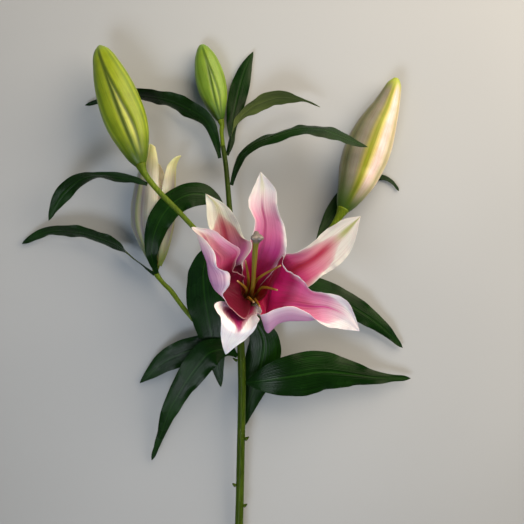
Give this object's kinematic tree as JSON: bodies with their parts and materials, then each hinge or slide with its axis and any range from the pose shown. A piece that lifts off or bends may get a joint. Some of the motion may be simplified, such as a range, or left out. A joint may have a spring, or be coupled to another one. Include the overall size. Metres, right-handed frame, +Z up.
{
  "type": "cut lily",
  "caption": "Cut oriental lily stem lying down, with an open pink and white flower, closed and opening buds and broad leaves.",
  "frame": {"origin": "middle of the footprint, on the surface that the flower lies on", "axes": "+Y along the main stem from its cut end to the top bud, +Z up out of the open flower, +X to the right as the flower is looked into"},
  "size_m": [0.3758, 0.6092, 0.1386],
  "materials": {
    "stem": "satin green stem",
    "pedicel": "satin green stalk",
    "leaf": "glossy dark green leaf with parallel veins",
    "leaf_underside": "matte olive leaf underside",
    "full_bud": "satin yellow-green bud with darker grooves",
    "young_bud": "satin fresh green bud",
    "pale_bud": "satin cream bud with a green rib",
    "opening_bud": "satin grey-green and cream tepals",
    "tepal_inner": "velvety pink, paler towards the margins",
    "tepal_outer": "velvety rose, paler towards the margins",
    "filament": "satin ochre green",
    "pistil": "satin olive with a grey-mauve stigma"
  },
  "bodies": {
    "root": {"main_stem": "stem", "leaf_stub_lowest": "stem", "leaf_stub_left": "stem", "leaf_stub_right": "stem", "bract_scale": "stem", "pedicel_left_bud": "pedicel", "pedicel_opening_bud": "pedicel", "pedicel_right_bud": "pedicel", "pedicel_top_bud": "pedicel", "pedicel_flower": "pedicel", "bud_left": "full_bud", "bud_top": "young_bud", "bud_right": "pale_bud", "opening_bud_inner_tepals": "opening_bud", "opening_bud_tepal_left": "opening_bud", "opening_bud_tepal_right": "opening_bud", "opening_bud_tepal_under": "opening_bud", "tepal_inner_top": "tepal_inner", "tepal_inner_right": "tepal_inner", "tepal_inner_left": "tepal_inner", "tepal_outer_right": "tepal_outer", "tepal_outer_bottom": "tepal_outer", "tepal_outer_left": "tepal_outer", "filament_upper_left": "filament", "filament_left": "filament", "filament_upper_right": "filament", "filament_right": "filament", "filament_lower_left": "filament", "filament_lower_right": "filament", "pistil": "pistil", "leaf_top_left": "leaf", "leaf_top_upright": "leaf", "leaf_right_arching": "leaf", "leaf_left_bud": "leaf", "leaf_far_left": "leaf", "leaf_over_opening_bud": "leaf", "leaf_broad_left": "leaf", "leaf_lower_left": "leaf", "leaf_folded_left": "leaf", "leaf_lower_right": "leaf", "leaf_behind_stem": "leaf", "leaf_right_behind": "leaf", "leaf_right_bud": "leaf", "leaf_top_right": "leaf_underside"}
  },
  "joints": []
}
